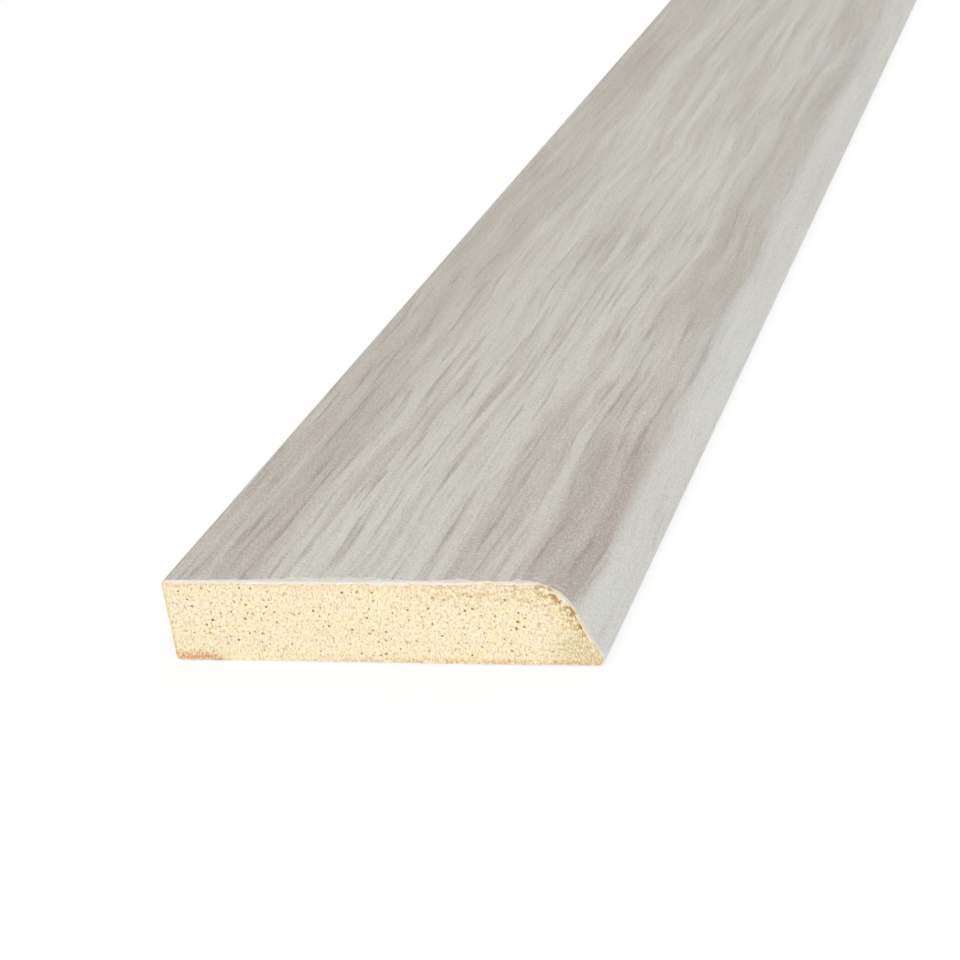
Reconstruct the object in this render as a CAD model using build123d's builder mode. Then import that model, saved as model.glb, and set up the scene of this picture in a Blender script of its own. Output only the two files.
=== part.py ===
from build123d import *

import os
from math import radians, tan

# Skirting board: a solid wood core wrapped in a printed decor foil, in millimetres.
# The board lies on its back: +X across it, from the square edge to the rounded nose,
# +Y along its length, +Z out of the decor face. The origin is the middle of the back.

# Size as sold, over the foil.
board_length = 2400.0
board_width = 60.0
board_thickness = 12.0

# Shape of the nose: the front leans back from the toe, and a round joins it to the face.
front_lean = 24.0
nose_radius = 6.5
toe_radius = 1.0

# The two corners of the square edge.
arris_radius = 0.6

# The foil, and how far it is turned under the back from each edge.
foil_thickness = 0.2
foil_lap = 8.0

os.makedirs("parts", exist_ok=True)

# The corners before rounding. The toe's round just reaches the board's full width,
# so its sharp corner lies a little outside.
square_edge_x = -board_width / 2
toe_corner_x = board_width / 2 + toe_radius * (tan(radians(45 + front_lean / 2)) - 1)
nose_corner_x = toe_corner_x - board_thickness * tan(radians(front_lean))

with BuildSketch(Plane.XZ) as board_section:
    with BuildLine():
        Polyline(
            (square_edge_x, 0),
            (toe_corner_x, 0),
            (nose_corner_x, board_thickness),
            (square_edge_x, board_thickness),
            close=True,
        )
    make_face()
    fillet(vertices().group_by(Axis.Y)[-1].sort_by(Axis.X)[-1], radius=nose_radius)
    fillet(vertices().group_by(Axis.Y)[0].sort_by(Axis.X)[-1], radius=toe_radius)
    fillet(vertices().group_by(Axis.X)[0], radius=arris_radius)

# The wood fills the outline, less the foil's thickness all round.
with BuildSketch(Plane.XZ) as core_section:
    add(board_section.sketch_local)
    offset(amount=-foil_thickness, kind=Kind.INTERSECTION)

with BuildPart() as wood_core:
    with BuildSketch(Plane.XZ):
        add(core_section.sketch_local)
    extrude(amount=board_length / 2, both=True)

# The foil is the skin between the two outlines, open along the middle of the back.
with BuildPart() as decor_foil:
    with BuildSketch(Plane.XZ):
        add(board_section.sketch_local)
        add(core_section.sketch_local, mode=Mode.SUBTRACT)
        Rectangle(
            board_width - 2 * foil_lap,
            foil_thickness,
            align=(Align.CENTER, Align.MIN),
            mode=Mode.SUBTRACT,
        )
    extrude(amount=board_length / 2, both=True)

wood_core.part.label = "wood_core"
export_step(wood_core.part, "parts/wood_core.step")

decor_foil.part.label = "decor_foil"
export_step(decor_foil.part, "parts/decor_foil.step")
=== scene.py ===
"""A length of foil-wrapped skirting board, dressed and lit on a pale studio floor.

Metres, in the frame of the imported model: +X across the board from its square edge to its rounded nose,
+Y along it, +Z out of the decor face. Sizes of the section are given in millimetres and converted.
"""
import logging
import math
from dataclasses import dataclass, field
from enum import Enum

import bpy
import numpy as np
from mathutils import Matrix, Vector


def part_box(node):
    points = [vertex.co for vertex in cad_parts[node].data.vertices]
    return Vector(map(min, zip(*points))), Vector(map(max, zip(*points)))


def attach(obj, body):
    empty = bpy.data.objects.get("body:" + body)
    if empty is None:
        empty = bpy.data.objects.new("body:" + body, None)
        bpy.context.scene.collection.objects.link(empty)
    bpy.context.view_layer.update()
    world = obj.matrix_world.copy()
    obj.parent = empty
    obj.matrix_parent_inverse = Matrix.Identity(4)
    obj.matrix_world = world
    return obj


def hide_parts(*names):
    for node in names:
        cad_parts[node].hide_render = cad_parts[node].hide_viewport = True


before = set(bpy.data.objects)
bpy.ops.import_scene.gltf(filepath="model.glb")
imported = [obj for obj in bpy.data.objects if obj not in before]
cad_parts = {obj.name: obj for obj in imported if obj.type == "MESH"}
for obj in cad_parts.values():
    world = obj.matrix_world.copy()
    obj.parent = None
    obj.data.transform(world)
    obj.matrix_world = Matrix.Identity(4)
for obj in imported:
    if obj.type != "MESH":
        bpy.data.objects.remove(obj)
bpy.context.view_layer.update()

MM = 0.001
# In metres: points this close together are welded, and points this close to a plane lie on it.
WELD = 0.000004
LEVEL = 0.00001
LOG = logging.getLogger("skirting_board")
Colour = tuple[float, float, float, float]


def srgb(red: int, green: int, blue: int) -> Colour:
    """Turns a screen colour into the linear colour that a shader takes.

    Args:
        red: Red, 0 to 255.
        green: Green, 0 to 255.
        blue: Blue, 0 to 255.

    Returns:
        The linear colour, with an alpha of 1.
    """
    linear = []
    for channel in (red, green, blue):
        share = channel / 255
        linear.append(share / 12.92 if share <= 0.04045 else ((share + 0.055) / 1.055) ** 2.4)
    return (*linear, 1.0)


class Value:
    """A number that varies over a surface, held as a node's socket, on which Python's operators work."""

    def __init__(self, bench: "Bench", socket: bpy.types.NodeSocket) -> None:
        """Wraps a socket of a bench's node tree."""
        self.bench = bench
        self.socket = socket

    def _math(self, operation: str, *terms: "Value | float") -> "Value":
        """Adds one Math node for an operation on the terms."""
        made = self.bench.node("ShaderNodeMath", {"operation": operation}, dict(enumerate(terms)))
        return Value(self.bench, made.outputs[0])

    def __add__(self, other: "Value | float") -> "Value":
        """Self plus other."""
        return self._math("ADD", self, other)

    def __radd__(self, other: float) -> "Value":
        """Other plus self."""
        return self._math("ADD", other, self)

    def __sub__(self, other: "Value | float") -> "Value":
        """Self minus other."""
        return self._math("SUBTRACT", self, other)

    def __rsub__(self, other: float) -> "Value":
        """Other minus self."""
        return self._math("SUBTRACT", other, self)

    def __mul__(self, other: "Value | float") -> "Value":
        """Self times other."""
        return self._math("MULTIPLY", self, other)

    def __rmul__(self, other: float) -> "Value":
        """Other times self."""
        return self._math("MULTIPLY", other, self)

    def __truediv__(self, other: "Value | float") -> "Value":
        """Self over other."""
        return self._math("DIVIDE", self, other)

    def higher(self, other: "Value | float") -> "Value":
        """The higher of self and other."""
        return self._math("MAXIMUM", self, other)

    def size(self) -> "Value":
        """Self without its sign."""
        return self._math("ABSOLUTE", self)

    def blended_low(self, other: "Value | float", reach: float) -> "Value":
        """The lower of self and other, rounded off where they are nearly equal."""
        return self._math("SMOOTH_MIN", self, other, reach)

    def rise(self, start: float, end: float) -> "Value":
        """A soft step from 0 at start to 1 at end, which may be the lower of the two."""
        made = self.bench.node(
            "ShaderNodeMapRange",
            {"interpolation_type": "SMOOTHSTEP"},
            {"Value": self, "From Min": start, "From Max": end},
        )
        return Value(self.bench, made.outputs["Result"])


def grey(level: float) -> Colour:
    """A linear grey of this level, with an alpha of 1."""
    return (level, level, level, 1.0)


class Bench:
    """Lays out the nodes of one material, or of the world."""

    def __init__(self, owner: "bpy.types.Material | bpy.types.World") -> None:
        """Empties the node tree of the owner."""
        self.owner = owner
        self.owner.use_nodes = True
        self.tree = owner.node_tree
        self.tree.nodes.clear()

    @classmethod
    def for_material(cls, name: str) -> "Bench":
        """Starts a new material."""
        return cls(bpy.data.materials.new(name))

    def node(self, kind: str, settings: dict | None = None, inputs: dict | None = None) -> bpy.types.Node:
        """Adds any node.

        Args:
            kind: The node's type.
            settings: Attributes of the node, set first.
            inputs: Values, sockets or wrapped values by socket name or index.

        Returns:
            The node.
        """
        made = self.tree.nodes.new(kind)
        for key, value in (settings or {}).items():
            setattr(made, key, value)
        for key, value in (inputs or {}).items():
            source = value.socket if isinstance(value, Value) else value
            if isinstance(source, bpy.types.NodeSocket):
                self.tree.links.new(source, made.inputs[key])
            else:
                made.inputs[key].default_value = source
        return made

    def place(self) -> tuple[Value, Value, Value]:
        """The point on the piece, in millimetres, as three values."""
        point = self.node("ShaderNodeTexCoord").outputs["Object"]
        parts = self.node("ShaderNodeSeparateXYZ", None, {0: point})
        return tuple(Value(self, out) * 1000.0 for out in parts.outputs)

    def sheet_place(self, uv_map: str) -> tuple[Value, Value]:
        """The point on a sheet laid flat, in millimetres, from a UV map in metres."""
        point = self.node("ShaderNodeUVMap", {"uv_map": uv_map}).outputs["UV"]
        parts = self.node("ShaderNodeSeparateXYZ", None, {0: point})
        return tuple(Value(self, out) * 1000.0 for out in parts.outputs[:2])

    def noise(self, across: Value, along: Value, up: "Value | float" = 0.0, detail: float = 2.0,
              roughness: float = 0.5) -> Value:
        """Cloudy noise about 0.5, one unit of the coordinates to a lump.

        Args:
            across: First coordinate.
            along: Second coordinate.
            up: Third coordinate, or a number that picks another pattern.
            detail: Octaves of finer noise.
            roughness: Weight of the finer octaves.

        Returns:
            The noise, 0 to 1.
        """
        where = self.node("ShaderNodeCombineXYZ", None, {0: across, 1: along, 2: up}).outputs[0]
        made = self.node(
            "ShaderNodeTexNoise",
            None,
            {"Vector": where, "Scale": 1.0, "Detail": detail, "Roughness": roughness},
        )
        return Value(self, made.outputs[0])

    def blend(self, share: "Value | float", first: "Colour | bpy.types.NodeSocket",
              second: "Colour | bpy.types.NodeSocket", how: str = "MIX") -> bpy.types.NodeSocket:
        """Mixes two colours.

        Args:
            share: How much of the second colour, 0 to 1.
            first: The colour under it.
            second: The colour over it.
            how: The way of mixing.

        Returns:
            The mixed colour's socket.
        """
        made = self.node(
            "ShaderNodeMix",
            {"data_type": "RGBA", "blend_type": how, "clamp_factor": True},
            {0: share, 6: first, 7: second},
        )
        return made.outputs[2]

    def bump(self, height: Value, depth: float, strength: float = 1.0) -> bpy.types.NodeSocket:
        """A normal from a height of 0 to 1 that stands for a relief of this depth, in metres."""
        made = self.node(
            "ShaderNodeBump",
            None,
            {"Height": height, "Distance": depth, "Strength": strength},
        )
        return made.outputs["Normal"]

    def surface(self, inputs: dict) -> bpy.types.Material:
        """Closes the material with one surface shader that takes these inputs."""
        shader = self.node("ShaderNodeBsdfPrincipled", None, inputs)
        self.node("ShaderNodeOutputMaterial", None, {"Surface": shader.outputs[0]})
        return self.owner


@dataclass(frozen=True)
class Stripe:
    """A stripe of darker figure in the print, along the board from its near end, in millimetres."""

    middle: float
    half_width: float
    reach: float
    strength: float


@dataclass(frozen=True)
class DecorPrint:
    """Whitewashed oak printed on the foil and pressed with a fine satin grain."""

    name: str = "whitewashed_oak_print"
    uv_map: str = "sheet"
    ground: Colour = srgb(221, 219, 205)
    cool: Colour = srgb(223, 224, 216)
    olive: Colour = srgb(200, 195, 177)
    mauve: Colour = srgb(188, 174, 164)
    taupe: Colour = srgb(180, 175, 165)
    vein: Colour = srgb(156, 141, 134)
    # The front slope's paler, more neutral colour: painted light and sheen.
    front: Colour = srgb(226, 226, 222)
    # Painted highlight on the crests of the pressed lumps.
    crest_highlight: Colour = srgb(234, 233, 229)
    paper: Colour = srgb(246, 244, 238)
    # Middles are measured over the wrap from the face's square edge.
    stripes: tuple[Stripe, ...] = (
        Stripe(4.5, 12.0, 420.0, 0.66),
        Stripe(42.0, 4.0, 70.0, 0.72),
        Stripe(54.0, 5.4, 56.0, 0.75),
        Stripe(53.5, 7.0, 3500.0, 0.58),
    )
    # Distances from the near end at which the figure is calm, and at its strongest.
    calm_from: float = 230.0
    strong_to: float = 30.0
    # Distances over the wrap between which the colour turns to the paler front: painted light and sheen on
    # the front slope.
    front_sheen_edge: tuple[float, float] = (57.0, 60.0)
    # Distances from a cut at which its scuffs begin, and are at their strongest.
    scuff_from: float = 2.4
    scuff_to: float = 0.8
    # Size of the pressed lumps in millimetres, and their relief in metres.
    peel_pitch: float = 0.32
    peel_depth: float = 0.0001

    def make(self, section: "BoardSection") -> bpy.types.Material:
        """Lays out the print.

        Args:
            section: The board's section, whose length places the stripes and the scuffs.

        Returns:
            The material.
        """
        bench = Bench.for_material(self.name)
        across, along = bench.sheet_place(self.uv_map)
        drift = (bench.noise(across / 30, along / 80, 3.1) - 0.5) * 6.0
        waver = (bench.noise(across / 5, along / 26, 8.4) - 0.5) * 1.6
        grain = across + drift + waver
        from_near = along + section.length / 2

        figure: Value | float = 0.0
        for number, stripe in enumerate(self.stripes):
            lumps = bench.noise(grain / 3, along / 60, 20.0 + number, 2.0).rise(0.28, 0.54) * 0.6 + 0.4
            near = from_near.rise(stripe.reach, stripe.reach * 0.7)
            inside = (grain - stripe.middle).size().rise(stripe.half_width, stripe.half_width * 0.45)
            figure = inside * near * lumps * stripe.strength + figure
        clouds = bench.noise(grain / 6, along / 120, 5.5, 2.0).rise(0.5, 0.72)
        olive = bench.noise(grain / 5, along / 80, 15.0, 2.0).rise(0.47, 0.68)
        pale = bench.noise(grain / 4, along / 70, 31.0, 2.0).rise(0.46, 0.66)
        streaks = bench.noise(grain / 1.7, along / 42, 1.7, 2.0).rise(0.46, 0.68)
        sweeps = bench.noise(grain / 2.6, along / 70, 51.0, 2.0).rise(0.46, 0.62)
        veins = bench.noise(grain / 1.1, along / 24, 6.2, 2.0).rise(0.52, 0.7)
        vein_field = bench.noise(grain / 6, along / 34, 13.0, 2.0).rise(0.36, 0.6)
        fibres = bench.noise(grain / 0.5, along / 10, 9.9, 2.0).rise(0.42, 0.7)
        strong = from_near.rise(self.calm_from, self.strong_to)
        calm = 1.0 - strong

        tint = bench.noise(grain / 3, along / 50, 44.0, 2.0).rise(0.45, 0.65) * 0.75
        tint = tint + across.rise(10.0, 50.0) * calm.rise(0.0, 0.4) * 0.45
        figured = bench.blend(tint, self.mauve, self.taupe)

        colour = bench.blend(pale * 0.85, self.ground, self.cool)
        colour = bench.blend(olive * 0.6, colour, self.olive)
        colour = bench.blend(figure * 0.75, colour, figured)
        colour = bench.blend(clouds * 0.28, colour, figured)
        colour = bench.blend(streaks * (strong * 0.12 + 0.3), colour, figured)
        colour = bench.blend(sweeps * calm * 0.34, colour, figured)
        veined = (vein_field * 0.2 + 0.36) * (strong * 0.75 + 0.25) + figure * 0.12
        colour = bench.blend(veins * veined, colour, self.vein)
        colour = bench.blend(fibres * (strong * 0.1 + 0.08), colour, self.vein)
        # Painted light and sheen on the front slope, stronger towards the near end.
        front_sheen_share = from_near.rise(300.0, 120.0) * 0.2 + 0.42
        colour = bench.blend(across.rise(*self.front_sheen_edge) * front_sheen_share, colour, self.front)

        peel = bench.noise(across / self.peel_pitch, along / (self.peel_pitch * 1.2), 2.2, 1.0)
        # Painted highlight on the pressed lumps' crests, and painted shade in the vein colour in their
        # hollows.
        colour = bench.blend(peel.rise(0.5, 0.72) * 0.4, colour, self.crest_highlight)
        colour = bench.blend(peel.rise(0.5, 0.28) * 0.33, colour, self.vein)
        from_cut = section.length / 2 - along.size()
        wisps = bench.noise(across / 1.5 + along / 0.8, along / 0.3, 27.0, 2.0).rise(0.52, 0.66)
        scuffed = bench.noise(across / 3.5, along / 9, 33.0).rise(0.45, 0.62)
        scuffed = scuffed * from_cut.rise(self.scuff_from, self.scuff_to)
        colour = bench.blend(wisps * scuffed * 0.75, colour, self.paper)
        return bench.surface({
            "Base Color": colour,
            "Roughness": 0.3 + veins * 0.06 + peel * 0.1,
            "Normal": bench.bump(peel - veins * 0.25 - fibres * 0.12, self.peel_depth),
        })


@dataclass(frozen=True)
class TornPaper:
    """The white, fibrous body of the foil where the cut has broken the print away."""

    name: str = "torn_paper"
    white: Colour = srgb(245, 242, 234)
    shade: Colour = srgb(226, 218, 202)
    cream: Colour = srgb(238, 222, 190)
    print_left: Colour = srgb(212, 210, 200)
    dusty: Colour = srgb(240, 226, 194)
    stained: Colour = srgb(206, 160, 100)
    glue: Colour = srgb(190, 158, 106)
    # Heights of the gaps on the nose where only brown glue is left, and half their widths.
    gaps: tuple[tuple[float, float], ...] = ((11.3, 0.5), (8.2, 0.9), (1.8, 1.9))
    # Depth of the fibres in metres.
    relief: float = 0.00004

    def make(self, section: "BoardSection") -> bpy.types.Material:
        """Lays out the paper: white on the face and nose, dusty and stained at the square edge and back.

        Args:
            section: The board's section, which places the stains.

        Returns:
            The material.
        """
        bench = Bench.for_material(self.name)
        x, y, z = bench.place()
        fibre = bench.noise(x / 0.4, y / 0.14, z / 0.14, 2.0)
        colour = bench.blend(fibre.rise(0.45, 0.75), self.white, self.shade)
        wisps = bench.noise(x / 1.2 + y / 0.7, y / 0.2, z / 0.5, 2.0)
        from_cut = section.length / 2 - y.size()
        left = wisps.rise(0.38, 0.52) * from_cut.rise(0.35, 0.75)
        colour = bench.blend(left * 0.9, colour, self.print_left)

        worn = bench.noise(x / 4.5, z / 2.0, 40.0, 2.0).rise(0.44, 0.56)
        colour = bench.blend(worn * (x.rise(18.0, 24.0) * 0.45 + 0.3), colour, self.cream)
        on_nose = x.rise(21.5, 22.5) * from_cut.rise(0.5, 0.3)
        for height, half in self.gaps:
            gap = (z - height + (fibre - 0.5) * 0.6).size().rise(half, half * 0.5)
            colour = bench.blend(gap * on_nose * 0.85, colour, self.glue)
        low = z.rise(1.4, 0.5).higher(x.rise(-section.width / 2 + 0.9, -section.width / 2 + 0.4))
        colour = bench.blend(low, colour, self.dusty)
        patches = bench.noise(x / 2.2, y / 0.5, z / 0.6, 2.0).rise(0.42, 0.6)
        heel = z.rise(2.2, 0.8) * (x.rise(-20.0, -24.0) * 0.75 + 0.1)
        colour = bench.blend(heel * patches, colour, self.stained)
        return bench.surface({
            "Base Color": colour,
            "Roughness": 0.85,
            "Normal": bench.bump(fibre, self.relief),
        })


@dataclass(frozen=True)
class EndGrain:
    """Sawn end of a pale, light hardwood, with glue stains beside the foil."""

    name: str = "sawn_end_grain"
    cream: Colour = srgb(250, 238, 208)
    yellow: Colour = srgb(250, 237, 199)
    pink: Colour = srgb(250, 232, 207)
    light: Colour = srgb(254, 246, 226)
    dusk: Colour = srgb(225, 213, 188)
    peach: Colour = srgb(248, 212, 168)
    amber: Colour = srgb(216, 182, 122)
    # Olive-grey of the painted shade at the toe.
    olive: Colour = srgb(219, 204, 164)
    brown: Colour = srgb(176, 126, 62)
    rust: Colour = srgb(214, 152, 90)
    # Depth of the grain in metres.
    relief: float = 0.00007

    def make(self, section: "BoardSection") -> bpy.types.Material:
        """Lays out the end grain.

        Args:
            section: The board's section, which places the stains.

        Returns:
            The material.
        """
        bench = Bench.for_material(self.name)
        x, _, z = bench.place()
        hue = bench.noise(x / 2.4, z / 1.8, 4.0, 3.0)
        blush = bench.noise(x / 3.0, z / 2.0, 15.0, 3.0)
        grit = bench.noise(x / 0.26, z / 0.42, 7.0, 2.0)
        rays = bench.noise(x / 0.32, z / 1.3, 2.0, 2.0)
        mottle = bench.noise(x / 1.0, z / 0.75, 22.0, 3.0)

        colour = bench.blend(hue.rise(0.38, 0.6), self.yellow, self.cream)
        colour = bench.blend(blush.rise(0.46, 0.66) * 0.85, colour, self.pink)

        top = section.thickness - section.foil - z
        lean = math.radians(section.front_lean)
        front = (section.toe_corner - z * math.tan(lean) - x) * math.cos(lean) - section.foil
        depth = top.blended_low(front, 6.0)
        under_foil = (depth + (mottle - 0.5) * 2.0).rise(1.7, 0.3) * x.rise(16.0, 8.0)
        colour = bench.blend(under_foil * mottle.rise(0.36, 0.56) * 0.6, colour, self.peach)
        band = (depth + (mottle - 0.5) * 3.0).rise(4.4, 1.6) * x.rise(2.0, 14.0)
        colour = bench.blend(band * mottle.rise(0.42, 0.6) * 0.6, colour, self.amber)
        # Olive-grey towards the toe's lower corner of the end: painted shade.
        toe = (x + (mottle - 0.5) * 4.0).rise(21.0, 26.0) * z.rise(6.0, 3.0)
        colour = bench.blend(toe * 0.6, colour, self.olive)
        nose = (depth + (mottle - 0.5) * 2.6).rise(1.9, 0.5) * x.rise(20.5, 24.0) * z.rise(3.8, 5.2)
        colour = bench.blend(nose * mottle.rise(0.38, 0.58) * 0.85, colour, self.brown)
        heel = (z + (mottle - 0.5) * 2.4).rise(1.9, 0.5) * x.rise(-21.5, -25.5)
        colour = bench.blend(heel * mottle.rise(0.3, 0.55) * 0.85, colour, self.rust)
        foot = (z + (mottle - 0.5) * 1.2).rise(1.2, 0.3) * mottle.rise(0.36, 0.56) * x.rise(-24.0, 12.0)
        colour = bench.blend(foot * 0.7, colour, self.amber)

        colour = bench.blend(rays.rise(0.5, 0.7) * 0.5, colour, self.dusk, "MULTIPLY")
        colour = bench.blend(grit.rise(0.5, 0.66) * 0.85, colour, self.dusk, "MULTIPLY")
        colour = bench.blend(grit.rise(0.48, 0.3) * 0.7, colour, self.light)
        return bench.surface({
            "Base Color": colour,
            "Roughness": 0.85,
            "Specular IOR Level": 0.25,
            "Normal": bench.bump(grit * 0.7 + rays * 0.3, self.relief, 0.7),
        })


@dataclass(frozen=True)
class OpenPore:
    """The inside of a cut vessel in the end grain, its darkness partly the wood's own and partly painted
    shade of the deep hole.
    """

    name: str = "open_pore"
    tan: Colour = srgb(218, 192, 142)
    brown: Colour = srgb(184, 146, 90)
    dark: Colour = srgb(136, 101, 58)

    def make(self) -> bpy.types.Material:
        """Lays out the pores, some of them half filled with dust, the rest brown to dark as painted shade.

        Returns:
            The material.
        """
        bench = Bench.for_material(self.name)
        x, _, z = bench.place()
        pit_fill_and_shade = bench.noise(x / 0.8, z / 0.8, 3.0, 0.0)
        # Tan where dust half fills a pit; brown and dark partly the vessel's colour and partly painted
        # shade of its depth.
        colour = bench.blend(pit_fill_and_shade.rise(0.36, 0.5), self.tan, self.brown)
        colour = bench.blend(pit_fill_and_shade.rise(0.6, 0.7), colour, self.dark)
        return bench.surface({"Base Color": colour, "Roughness": 0.9, "Specular IOR Level": 0.2})


@dataclass(frozen=True)
class PlanedWood:
    """The planed back of the core, with straight grain along the board."""

    name: str = "planed_wood"
    cream: Colour = srgb(238, 222, 186)
    honey: Colour = srgb(222, 198, 154)
    pore: Colour = srgb(172, 140, 94)
    # Depth of the vessels in metres.
    relief: float = 0.00005

    def make(self) -> bpy.types.Material:
        """Lays out the planed wood.

        Returns:
            The material.
        """
        bench = Bench.for_material(self.name)
        x, y, z = bench.place()
        grain = x + (bench.noise(x / 20, y / 140, 2.0) - 0.5) * 6.0
        bands = bench.noise(grain / 6, y / 420, z / 6, 2.0).rise(0.4, 0.68)
        fibres = bench.noise(grain / 0.5, y / 30, z / 0.5, 2.0).rise(0.45, 0.75)
        vessels = bench.noise(grain / 0.35, y / 5, 11.0, 0.0).rise(0.66, 0.76)
        colour = bench.blend(bands * 0.7, self.cream, self.honey)
        colour = bench.blend(fibres * 0.35, colour, self.honey)
        colour = bench.blend(vessels * 0.6, colour, self.pore)
        return bench.surface({
            "Base Color": colour,
            "Roughness": 0.75,
            "Specular IOR Level": 0.3,
            "Normal": bench.bump(1.0 - vessels * 0.6 - fibres * 0.3, self.relief),
        })


@dataclass(frozen=True)
class BoardSection:
    """The board's section, in millimetres, as the solids have it."""

    width: float
    thickness: float
    length: float
    foil: float
    front_lean: float = 24.0
    nose_radius: float = 6.5
    toe_radius: float = 1.0
    arris_radius: float = 0.6
    lap: float = 8.0
    # How far the saw left the wood behind the foil at a cut end.
    set_back: float = 0.25

    @classmethod
    def from_frame(cls) -> "BoardSection":
        """Takes the board's box and the foil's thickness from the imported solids."""
        foil_low, foil_high = (np.array(corner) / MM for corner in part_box("decor_foil"))
        core_low = np.array(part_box("wood_core")[0]) / MM
        width, length, thickness = (float(side) for side in foil_high - foil_low)
        return cls(width, thickness, length, float(core_low[0] - foil_low[0]))

    @property
    def toe_corner(self) -> float:
        """X of the toe's corner before it is rounded."""
        return self.width / 2 + self.toe_radius * (math.tan(math.radians(45 + self.front_lean / 2)) - 1)

    @property
    def nose_centre(self) -> tuple[float, float]:
        """X and Z of the middle of the nose's round."""
        turn = math.radians(90 - self.front_lean)
        corner = self.toe_corner - self.thickness * math.tan(math.radians(self.front_lean))
        return corner - self.nose_radius * math.tan(turn / 2), self.thickness - self.nose_radius

    def outline(self, inset: float, lap: float) -> np.ndarray:
        """Follows the section round from the lap at the square edge, over the face, to the lap at the toe.

        Args:
            inset: How far inside the foil's surface the outline lies.
            lap: How far the outline runs in under the back from each edge.

        Returns:
            Points as rows of X and Z, close together on the rounds.
        """
        half = self.width / 2
        arris = (-half + self.arris_radius, self.arris_radius)
        crown = (-half + self.arris_radius, self.thickness - self.arris_radius)
        toe = (half - self.toe_radius, self.toe_radius)
        rounds = (
            (arris, self.arris_radius, 270.0, 180.0, 8),
            (crown, self.arris_radius, 180.0, 90.0, 8),
            (self.nose_centre, self.nose_radius, 90.0, self.front_lean, 48),
            (toe, self.toe_radius, self.front_lean, -90.0, 16),
        )
        points = [(-half + lap, inset)]
        for (x, z), radius, start, end, steps in rounds:
            for turn in np.radians(np.linspace(start, end, steps + 1)):
                reach = radius - inset
                points.append((x + reach * math.cos(turn), z + reach * math.sin(turn)))
        points.append((half - lap, inset))
        return np.array(points)


def along_line(points: np.ndarray, count: int) -> tuple[np.ndarray, np.ndarray]:
    """Spaces points evenly along a line of straight runs.

    Args:
        points: The line's corners, one per row.
        count: How many points to place.

    Returns:
        The points, and each one's distance from the start.
    """
    runs = np.r_[0.0, np.cumsum(np.linalg.norm(np.diff(points, axis=0), axis=1))]
    where = np.linspace(0.0, runs[-1], count)
    placed = np.stack([np.interp(where, runs, points[:, axis]) for axis in range(points.shape[1])], axis=1)
    return placed, where


def ragged(where: np.ndarray, pitch: float, seed: int) -> np.ndarray:
    """A jagged line of random heights.

    Args:
        where: Places along the line.
        pitch: Distance from one random height to the next.
        seed: Picks the line.

    Returns:
        Heights from 0 to 1 at the places.
    """
    count = int((where.max() - where.min()) / pitch) + 3
    heights = np.random.default_rng(seed).random(count)
    return np.interp((where - where.min()) / pitch, np.arange(count), heights)


def read_points(mesh: bpy.types.Mesh) -> np.ndarray:
    """The mesh's points, one per row."""
    points = np.empty(len(mesh.vertices) * 3)
    mesh.vertices.foreach_get("co", points)
    return points.reshape(-1, 3)


def write_points(mesh: bpy.types.Mesh, points: np.ndarray) -> None:
    """Moves the mesh's points to these rows."""
    mesh.vertices.foreach_set("co", points.reshape(-1))
    mesh.update()


def flat_grid(name: str, columns: int, rows: int) -> bpy.types.Object:
    """Adds a flat grid of cells, from -1 to 1 both ways, with nothing else selected.

    Args:
        name: The piece's name.
        columns: Cells along X.
        rows: Cells along Y.

    Returns:
        The piece.
    """
    bpy.ops.object.select_all(action="DESELECT")
    bpy.ops.mesh.primitive_grid_add(x_subdivisions=columns, y_subdivisions=rows, size=2.0)
    piece = bpy.context.active_object
    piece.name = piece.data.name = name
    return piece


def select_faces(piece: bpy.types.Object, chosen: np.ndarray) -> None:
    """Selects only the faces that the mask marks, ready for edit mode."""
    mesh = piece.data
    bpy.context.tool_settings.mesh_select_mode = (False, False, True)
    mesh.vertices.foreach_set("select", np.zeros(len(mesh.vertices), dtype=bool))
    mesh.edges.foreach_set("select", np.zeros(len(mesh.edges), dtype=bool))
    mesh.polygons.foreach_set("select", chosen.astype(bool))
    mesh.update()


class End(Enum):
    """The two cut ends, by the way each one faces along the board."""

    NEAR = -1
    FAR = 1


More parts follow.
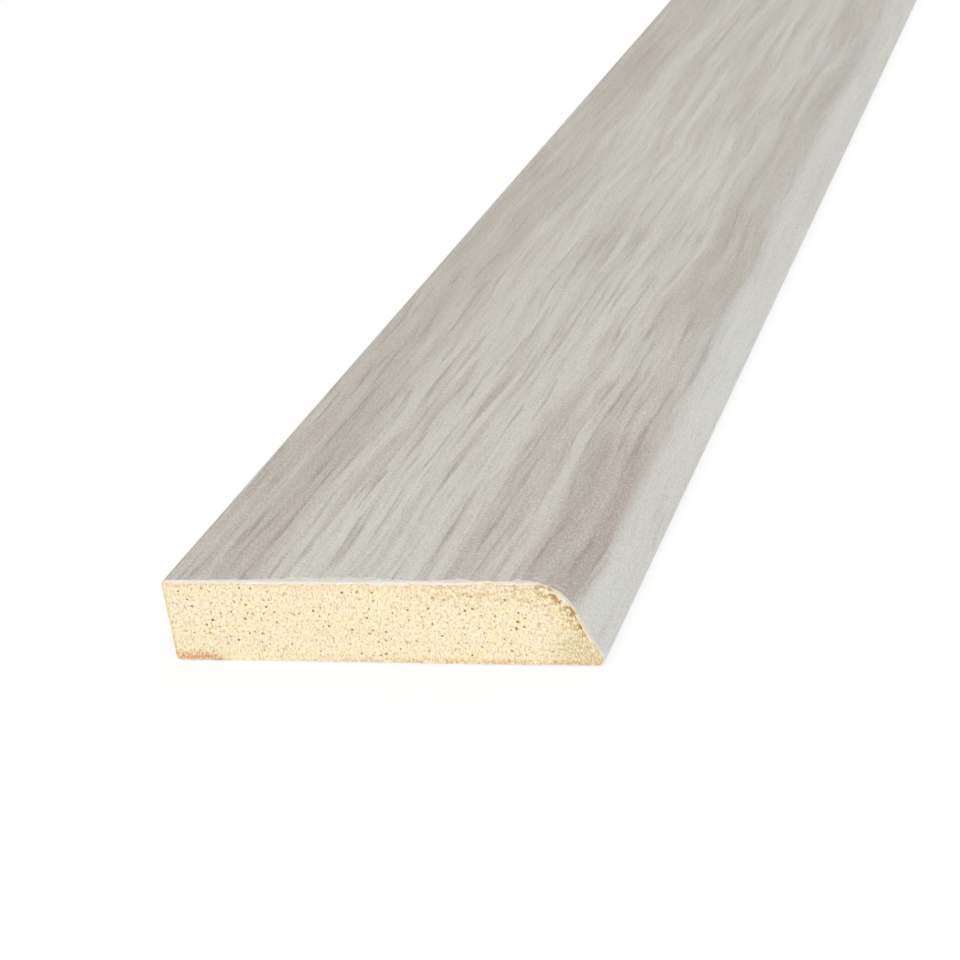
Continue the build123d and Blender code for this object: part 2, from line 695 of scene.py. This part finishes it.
@dataclass
class WoodCore:
    """The solid core, sawn across at both ends."""

    section: BoardSection
    columns: int = 250
    rows: int = 46
    bays: int = 24
    # How far the saw moved points about on the ends, and how deep it cut into them.
    jitter: float = 0.06
    saw_depth: float = 0.05
    # Turn of the saw's ridges, in radians, for each millimetre across the end and up it.
    saw_ridges: tuple[float, float] = (2.1, 0.5)
    # Pores to an end, their depth and rim, and the least distance between two.
    pores: int = 190
    pore_depth: float = 0.08
    pore_rim: float = 0.03
    pore_gap: float = 0.75
    # Sizes of the pores against a cell of the end's grid, and the share of each.
    pore_sizes: tuple[float, ...] = (0.65, 0.8, 0.95, 1.15, 1.35)
    pore_shares: tuple[float, ...] = (0.28, 0.3, 0.22, 0.13, 0.07)
    # Pores keep this far from the face, the back and the square edge.
    pore_margin: float = 1.0
    # X at the back past which there are no pores, and how far that moves in for each millimetre of height.
    pore_front: float = 27.0
    pore_lean: float = 0.4
    # Faces this near a cut belong to its end.
    end_depth: float = 0.3
    # How far in from each end the saw pushed fibres out of the back, and how far down they reach, as
    # shares of the foil's thickness.
    burr: float = 0.6
    burr_reach: tuple[float, float] = (0.45, 0.9)
    seed: int = 41
    piece: bpy.types.Object = field(init=False, default=None)

    def build(self) -> None:
        """Lays a fine grid over the near end, draws it out along the board and opens the pores."""
        self.piece = flat_grid("board_core", self.columns, self.rows)
        self._lay_on_section()
        bpy.ops.object.mode_set(mode="EDIT")
        bpy.ops.mesh.select_all(action="SELECT")
        between = self.section.length - 2 * (self.section.set_back + self.burr)
        for bay in (self.burr, *[between / self.bays] * self.bays, self.burr):
            bpy.ops.mesh.extrude_region_move(TRANSFORM_OT_translate={"value": (0.0, bay * MM, 0.0)})
        bpy.ops.mesh.select_all(action="SELECT")
        bpy.ops.mesh.remove_doubles(threshold=WELD)
        bpy.ops.mesh.normals_make_consistent(inside=False)
        bpy.ops.object.mode_set(mode="OBJECT")
        for end in End:
            self._saw(end)
        self._open_pores()

    def _lay_on_section(self) -> None:
        """Moves the flat grid's points onto the near end, column by column, with a little irregularity."""
        line = self.section.outline(self.section.foil, self.section.width / 2)
        tip = int(np.argmax(line[:, 0]))
        heel = int(np.argmin(line[:tip, 0]))
        upper, _ = along_line(line[heel + 1: tip + 1], self.columns + 1)
        lower = np.concatenate([line[heel::-1], line[: tip - 1: -1]])
        lower = lower[np.argsort(lower[:, 0], kind="stable")]
        points = read_points(self.piece.data)
        column = np.rint((points[:, 0] + 1) / 2 * self.columns).astype(int)
        share = (points[:, 1] + 1) / 2
        bottom = np.interp(upper[:, 0], lower[:, 0], lower[:, 1])
        bottom = np.minimum(bottom, upper[:, 1])
        x = upper[column, 0]
        z = bottom[column] + share * (upper[column, 1] - bottom[column])
        # The rim stays on the outline, and so do the short columns at the toe.
        inside = (column > 1) & (column < self.columns - 8) & (share > 0.01) & (share < 0.99)
        draws = np.random.default_rng(self.seed)
        shift = draws.uniform(-self.jitter, self.jitter, (len(points), 2)) * inside[:, None]
        near = np.full_like(x, -self.section.length / 2 + self.section.set_back)
        placed = np.stack([x + shift[:, 0], near, z + shift[:, 1]], axis=1)
        write_points(self.piece.data, placed * MM)

    def _saw(self, end: End) -> None:
        """Roughens one end as a saw leaves it, with a burr of fibres along its lower edge.

        Args:
            end: Which end.
        """
        mesh = self.piece.data
        points = read_points(mesh)
        face = end.value * (self.section.length / 2 - self.section.set_back) * MM
        on_end = np.abs(points[:, 1] - face) < LEVEL
        draws = np.random.default_rng(self.seed + end.value)
        depth = draws.uniform(0.0, self.saw_depth, on_end.sum())
        ridges = points[on_end][:, [0, 2]] / MM @ np.array(self.saw_ridges)
        depth += self.saw_depth * (0.5 + 0.5 * np.sin(ridges))
        points[on_end, 1] -= end.value * depth * MM
        bare = (self.section.width / 2 - self.section.lap) * MM
        lower = on_end & (points[:, 2] < (self.section.foil + 0.02) * MM) & (np.abs(points[:, 0]) < bare)
        points[lower, 2] -= draws.uniform(*self.burr_reach, lower.sum()) * self.section.foil * MM
        write_points(mesh, points)

    def _open_pores(self) -> None:
        """Sinks a pit into scattered faces of both ends."""
        mesh = self.piece.data
        normals = np.empty(len(mesh.polygons) * 3)
        mesh.polygons.foreach_get("normal", normals)
        centres = np.empty(len(mesh.polygons) * 3)
        mesh.polygons.foreach_get("center", centres)
        centres = centres.reshape(-1, 3)
        end_from = self.section.length / 2 - self.section.set_back - self.end_depth
        on_end = np.abs(centres[:, 1]) > end_from * MM
        on_end &= np.abs(normals.reshape(-1, 3)[:, 1]) > 0.5
        slots = np.where(on_end, 1, 0)
        draws = np.random.default_rng(self.seed + 9)
        points = read_points(mesh)
        pits = np.zeros(len(mesh.polygons), dtype=bool)
        for end in End:
            faces = np.flatnonzero(on_end & (np.sign(centres[:, 1]) == end.value))
            x, z = (centres[faces][:, [0, 2]] / MM).T
            clear = np.abs(z - self.section.thickness / 2) < self.section.thickness / 2 - self.pore_margin
            clear &= x > -self.section.width / 2 + self.pore_margin
            clear &= x < self.pore_front - z * self.pore_lean
            faces = faces[clear]
            for chosen in draws.permutation(faces):
                if pits[faces].sum() >= self.pores:
                    break
                gap = np.linalg.norm(centres[np.flatnonzero(pits)] - centres[chosen], axis=1)
                if len(gap) and gap.min() < self.pore_gap * MM:
                    continue
                pits[chosen] = True
                corners = list(mesh.polygons[chosen].vertices)
                grow = draws.choice(self.pore_sizes, p=self.pore_shares)
                points[corners] = centres[chosen] + (points[corners] - centres[chosen]) * grow
        slots[pits] = 2
        write_points(mesh, points)
        mesh.polygons.foreach_set("material_index", slots)
        select_faces(self.piece, pits)
        bpy.ops.object.mode_set(mode="EDIT")
        bpy.ops.mesh.inset(thickness=self.pore_rim * MM, depth=-self.pore_depth * MM, use_individual=True)
        bpy.ops.mesh.select_all(action="DESELECT")
        bpy.ops.object.mode_set(mode="OBJECT")

    def dress(self) -> None:
        """Gives the core its planed wood, end grain and pores, and its place in the model."""
        for material in (PlanedWood().make(), EndGrain().make(self.section), OpenPore().make()):
            self.piece.data.materials.append(material)
        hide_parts("wood_core")
        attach(self.piece, "root")


@dataclass(frozen=True)
class TornEdge:
    """How the foil broke along one cut, at each place along its wrap, in millimetres."""

    # Distances from the board's end of the paper's edge and of the print's edge.
    paper: np.ndarray
    printed: np.ndarray
    # How far the bare paper lies below the print, and how far it hangs down over the wood.
    depth: np.ndarray
    hang: np.ndarray


@dataclass(frozen=True)
class Wear:
    """How the foil broke at one place along a cut, in millimetres."""

    # Distance over the wrap from the face's square edge.
    place: float
    # Width of the paper left bare of print, and how far it hangs over the wood.
    bare: float
    hang: float
    # Share of the foil's overhang that is broken off.
    broken: float = 0.0


@dataclass
class DecorFoil:
    """The printed foil, wrapped round the core from a flat sheet and torn at both cut ends."""

    section: BoardSection
    columns: int = 640
    bays: int = 22
    seed: int = 47
    # Rows of points in the torn strip at one end.
    torn_rows: int = 5
    # The step at the print's torn edge is this wide.
    lip: float = 0.03
    # Height and pitch of the waves along the paper's edge, and of its frays.
    waves: tuple[float, float] = (0.08, 1.3)
    frays: tuple[float, float] = (0.1, 0.3)
    # Where none of its overhang is left, the foil is broken this far back.
    broken_back: float = 0.4
    # Least width of bare paper, and the distance from the square edge and the toe over which it hangs less.
    least_bare: float = 0.08
    hang_ends: float = 1.5
    # Rows past the tear: distance from the end, and how much of the tear's raggedness they keep.
    settling: tuple[tuple[float, float], ...] = ((0.6, 0.75), (3.0, 0.3), (10.0, 0.0))
    # The near cut's wear from the square edge to the toe; the far cut has it the other way round.
    wear: tuple[Wear, ...] = (
        Wear(0.0, 0.15, 0.15), Wear(6.0, 0.3, 0.2), Wear(13.0, 0.35, 0.25), Wear(16.5, 1.1, 0.25),
        Wear(21.5, 1.0, 0.35), Wear(25.0, 1.6, 0.15), Wear(28.5, 1.5, 0.15), Wear(31.0, 0.9, 0.45),
        Wear(33.8, 0.4, 0.4), Wear(35.0, 0.2, 0.05), Wear(37.0, 0.3, 0.1), Wear(39.0, 0.7, 0.3),
        Wear(41.5, 1.0, 0.3), Wear(43.5, 0.3, 0.1), Wear(45.2, 0.15, 0.0, 1.0), Wear(45.9, 0.15, 0.0, 0.8),
        Wear(46.8, 0.2, 0.05), Wear(48.2, 0.3, 0.05), Wear(49.0, 1.2, 0.1), Wear(50.5, 0.5, 0.1),
        Wear(52.2, 0.35, 0.15), Wear(53.0, 0.15, 0.0, 1.0), Wear(53.8, 0.3, 0.25), Wear(55.2, 0.5, 0.5),
        Wear(56.4, 0.4, 0.4), Wear(57.2, 0.15, 0.0, 1.0), Wear(58.2, 0.2, 0.0, 0.7), Wear(59.3, 0.2, 0.08),
        Wear(60.6, 0.3, 0.15), Wear(61.8, 0.55, 0.4), Wear(62.8, 0.4, 0.2), Wear(63.5, 0.15, 0.0, 1.0),
        Wear(66.0, 0.1, 0.0, 0.8),
    )
    piece: bpy.types.Object = field(init=False, default=None)

    @property
    def rows(self) -> int:
        """Rows of cells along the whole sheet."""
        return 2 * (self.torn_rows + len(self.settling) - 1) + self.bays

    def build(self) -> None:
        """Wraps a flat sheet round the section, gives it its thickness and tears its ends."""
        self.piece = flat_grid("board_foil", self.columns, self.rows)
        points = read_points(self.piece.data)
        column = np.rint((points[:, 0] + 1) / 2 * self.columns).astype(int)
        row = np.rint((points[:, 1] + 1) / 2 * self.rows).astype(int)
        line, where = along_line(self.section.outline(0.0, self.section.lap), self.columns + 1)
        self._wrap(line, where, column, row)
        self._thicken()
        self._tear(line, where, column, row)
        bpy.ops.object.shade_smooth_by_angle(angle=math.radians(40))

    def face_start(self) -> float:
        """Distance along the wrap, in millimetres, at which the face begins."""
        line = self.section.outline(0.0, self.section.lap)
        upto = line[: int(np.argmax(line[:, 1] > self.section.thickness - 0.0001)) + 1]
        return float(np.linalg.norm(np.diff(upto, axis=0), axis=1).sum())

    def torn_edge(self, where: np.ndarray, end: End) -> TornEdge:
        """Works out how the foil broke along one cut.

        Args:
            where: Places along the wrap, in millimetres.
            end: Which end.

        Returns:
            The tear at those places.
        """
        seed = self.seed + 10 * end.value
        over = where - self.face_start()
        if end is End.FAR:
            over = self.wear[-1].place - over
        places = [wear.place for wear in self.wear]
        bare = np.interp(over, places, [wear.bare for wear in self.wear])
        hang = np.interp(over, places, [wear.hang for wear in self.wear])
        broken = np.interp(over, places, [wear.broken for wear in self.wear])
        hang *= np.clip(np.minimum(over, self.wear[-1].place - over) / self.hang_ends, 0.0, 1.0)

        paper = self.broken_back * broken
        for number, (height, pitch) in enumerate((self.waves, self.frays)):
            paper += height * ragged(where, pitch, seed + number)
        printed = np.maximum(paper, self.section.set_back) + self.least_bare
        printed += bare * (0.25 + 0.5 * ragged(where, 0.5, seed + 3) + 0.5 * ragged(where, 0.9, seed + 4))
        depth = 0.03 + 0.07 * ragged(where, 0.7, seed + 5)
        hang *= 0.35 + 1.1 * ragged(where, 0.28, seed + 6) ** 2
        return TornEdge(paper, printed, depth, hang)

    def _wrap(self, line: np.ndarray, where: np.ndarray, column: np.ndarray, row: np.ndarray) -> None:
        """Moves the flat grid's points round the section, and keeps where each lay on the sheet.

        Args:
            line: Points round the section.
            where: Their distances along the wrap.
            column: Each point's column of the sheet.
            row: Each point's row of the sheet.
        """
        mesh = self.piece.data
        half = self.section.length / 2
        reach = self.torn_rows + len(self.settling) - 1
        middle = np.linspace(-half + self.settling[-1][0], half - self.settling[-1][0], self.bays + 1)
        y = np.interp(row, np.arange(reach, reach + self.bays + 1), middle)
        for end in End:
            edge = self.torn_edge(where, end)
            over_wood = np.maximum(edge.paper + 0.02, self.section.set_back)
            inward = [edge.paper, (edge.paper + over_wood) / 2, over_wood]
            inward += [edge.printed - self.lip, edge.printed]
            inward += [further + kept * edge.printed for further, kept in self.settling]
            steps = row if end is End.NEAR else self.rows - row
            for number, distance in enumerate(inward):
                y = np.where(steps == number, end.value * (half - distance[column]), y)
        write_points(mesh, np.stack([line[column, 0], y, line[column, 1]], axis=1) * MM)

        corners = np.empty(len(mesh.loops), dtype=int)
        mesh.loops.foreach_get("vertex_index", corners)
        sheet = np.stack([where[column] - self.face_start(), y], axis=1) * MM
        mesh.uv_layers[0].name = "sheet"
        mesh.uv_layers[0].data.foreach_set("uv", sheet[corners].reshape(-1))
        torn = np.minimum(row, self.rows - row) < self.torn_rows
        slots = [int(all(torn[corner] for corner in face.vertices)) for face in mesh.polygons]
        mesh.polygons.foreach_set("material_index", slots)

    def _thicken(self) -> None:
        """Turns the wrapped sheet the right way out and gives it its thickness towards the core."""
        mesh = self.piece.data
        upper = max(mesh.polygons, key=lambda face: face.center.z)
        if upper.normal.z < 0:
            bpy.ops.object.mode_set(mode="EDIT")
            bpy.ops.mesh.select_all(action="SELECT")
            bpy.ops.mesh.flip_normals()
            bpy.ops.object.mode_set(mode="OBJECT")
        wall = self.piece.modifiers.new("wall", "SOLIDIFY")
        wall.thickness = self.section.foil * MM
        wall.offset = -1.0
        wall.use_even_offset = True
        wall.material_offset = 1
        wall.material_offset_rim = 1
        bpy.ops.object.modifier_apply(modifier=wall.name)

    def _tear(self, line: np.ndarray, where: np.ndarray, column: np.ndarray, row: np.ndarray) -> None:
        """Breaks the print away beside both cuts, and lets the paper hang over the wood.

        Args:
            line: Points round the section.
            where: Their distances along the wrap.
            column: Each outer point's column of the sheet.
            row: Each outer point's row of the sheet.
        """
        mesh = self.piece.data
        points = read_points(mesh)
        outer = len(column)
        slope = np.gradient(line, axis=0)
        inward = np.stack([slope[:, 1], np.zeros(len(line)), -slope[:, 0]], axis=1)
        inward /= np.linalg.norm(inward, axis=1, keepdims=True)
        for end in End:
            edge = self.torn_edge(where, end)
            steps = row if end is End.NEAR else self.rows - row
            # The bare rows lie fully below the print, and the last of them climbs to its edge.
            for number, share in enumerate((1.0, 1.0, 1.0, 0.75)):
                mine = np.flatnonzero(steps == number)
                points[mine] += inward[column[mine]] * (edge.depth[column[mine]] * share * MM)[:, None]
            for number in (0, 1):
                mine = np.flatnonzero(steps == number)
                points[mine + outer] += inward[column[mine]] * (edge.hang[column[mine]] * MM)[:, None]
        write_points(mesh, points)

    def dress(self) -> None:
        """Gives the foil its print and torn paper, and its place in the model."""
        for material in (DecorPrint().make(self.section), TornPaper().make(self.section)):
            self.piece.data.materials.append(material)
        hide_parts("decor_foil")
        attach(self.piece, "root")


@dataclass(frozen=True)
class Lamp:
    """A soft lamp, in metres and watts."""

    name: str
    place: tuple[float, float, float]
    aim: tuple[float, float, float]
    # Width, and length along the board.
    size: tuple[float, float]
    power: float
    # Whether the board's sheen shows the lamp.
    mirrored: bool = True

    def hang(self) -> None:
        """Hangs the lamp in its place, facing its aim."""
        data = bpy.data.lights.new(self.name, "AREA")
        data.shape = "RECTANGLE"
        data.size, data.size_y = self.size
        data.energy = self.power
        lamp = bpy.data.objects.new(self.name, data)
        lamp.location = self.place
        lamp.visible_glossy = self.mirrored
        lamp.rotation_euler = (Vector(self.aim) - Vector(self.place)).to_track_quat("-Z", "Y").to_euler()
        bpy.context.scene.collection.objects.link(lamp)


@dataclass
class Studio:
    """A pale floor, soft lights and the camera."""

    section: BoardSection
    lens: float = 84.29
    sensor: float = 36.0
    # Where the camera stands, and which ways are right and down in its picture.
    camera_place: tuple[float, float, float] = (0.10392, -1.44200, 0.13719)
    right: tuple[float, float, float] = (0.950633, 0.278253, -0.137374)
    down: tuple[float, float, float] = (-0.008700, -0.418618, -0.908121)
    floor_size: float = 60.0
    # The floor lies this far under the board.
    floor_gap: float = 0.0001
    # How pale the floor is to the board, and how much light it throws back to the camera.
    floor_pale: float = 0.8
    floor_seen: float = 0.35
    # The floor's own glow for the camera, beside the board and away from it.
    glow_beside: float = 0.7
    glow_away: float = 0.85
    # Distances from the board, in millimetres, between which the glow changes.
    glow_change: tuple[float, float] = (300.0, 2500.0)
    sky: float = 0.45
    lamps: tuple[Lamp, ...] = (
        Lamp("overhead", (0.45, 0.0, 1.3), (0.0, 0.0, 0.0), (1.0, 3.4), 14.0),
        Lamp("key", (0.45, -2.4, 0.55), (0.0, -1.15, 0.0), (0.9, 0.9), 9.6),
        Lamp("fill", (-0.6, -1.8, 1.0), (0.0, -1.1, 0.0), (0.9, 0.9), 3.4),
        Lamp("back", (-0.6, 2.4, 0.7), (0.0, 1.15, 0.0), (0.9, 0.9), 6.0, mirrored=False),
    )

    def build(self) -> None:
        """Sets up the whole studio."""
        self._floor()
        self._world()
        for lamp in self.lamps:
            lamp.hang()
        self._camera()

    def _floor(self) -> None:
        """Lays the floor just under the board."""
        bpy.ops.object.select_all(action="DESELECT")
        bpy.ops.mesh.primitive_plane_add(size=self.floor_size, location=(0.0, 0.0, -self.floor_gap))
        floor = bpy.context.active_object
        floor.name = "studio_floor"
        bench = Bench.for_material("pale_floor")
        path = bench.node("ShaderNodeLightPath").outputs
        shown = Value(bench, path["Is Camera Ray"]).higher(Value(bench, path["Is Glossy Ray"]))
        matt = bench.node("ShaderNodeBsdfDiffuse", None, {"Color": grey(self.floor_pale)})
        soft = bench.node("ShaderNodeBsdfDiffuse", None, {"Color": grey(self.floor_seen)})
        x, y, _ = bench.place()
        away = x.size().higher(y.size() - self.section.length / 2)
        glow = bench.blend(away.rise(*self.glow_change), grey(self.glow_beside), grey(self.glow_away))
        white = bench.node("ShaderNodeEmission", None, {"Color": glow})
        lit = bench.node("ShaderNodeAddShader", None, {0: soft.outputs[0], 1: white.outputs[0]})
        mixed = bench.node("ShaderNodeMixShader", None, {0: shown, 1: matt.outputs[0], 2: lit.outputs[0]})
        bench.node("ShaderNodeOutputMaterial", None, {"Surface": mixed.outputs[0]})
        floor.data.materials.append(bench.owner)

    def _world(self) -> None:
        """Surrounds the board with even light, and shows white behind it."""
        world = bpy.data.worlds.new("studio_world")
        bpy.context.scene.world = world
        bench = Bench(world)
        path = bench.node("ShaderNodeLightPath").outputs
        even = bench.node("ShaderNodeBackground", None, {"Color": grey(1.0), "Strength": self.sky})
        white = bench.node("ShaderNodeBackground", None, {"Color": grey(1.0), "Strength": 1.0})
        mixed = bench.node(
            "ShaderNodeMixShader",
            None,
            {0: path["Is Camera Ray"], 1: even.outputs[0], 2: white.outputs[0]},
        )
        bench.node("ShaderNodeOutputWorld", None, {"Surface": mixed.outputs[0]})

    def _camera(self) -> None:
        """Stands the camera where the photograph was taken from."""
        data = bpy.data.cameras.new("camera")
        data.sensor_width = self.sensor
        data.lens = self.lens
        data.clip_start = 0.01
        data.dof.use_dof = False
        camera = bpy.data.objects.new("camera", data)
        right = Vector(self.right).normalized()
        up = -Vector(self.down)
        up = (up - right * up.dot(right)).normalized()
        back = right.cross(up)
        turn = Matrix((right, up, back)).transposed().to_4x4()
        camera.matrix_world = Matrix.Translation(self.camera_place) @ turn
        bpy.context.scene.collection.objects.link(camera)
        bpy.context.scene.camera = camera


def main() -> None:
    """Builds the board and the studio in order, and reports each piece."""
    logging.basicConfig(level=logging.INFO, format="%(message)s")
    section = BoardSection.from_frame()
    LOG.info("section %s", section)
    for part in (WoodCore(section), DecorFoil(section)):
        part.build()
        part.dress()
        LOG.info("%s: %d faces", part.piece.name, len(part.piece.data.polygons))
    Studio(section).build()
    bpy.context.scene.view_settings.view_transform = "Standard"


if __name__ == "__main__":
    main()
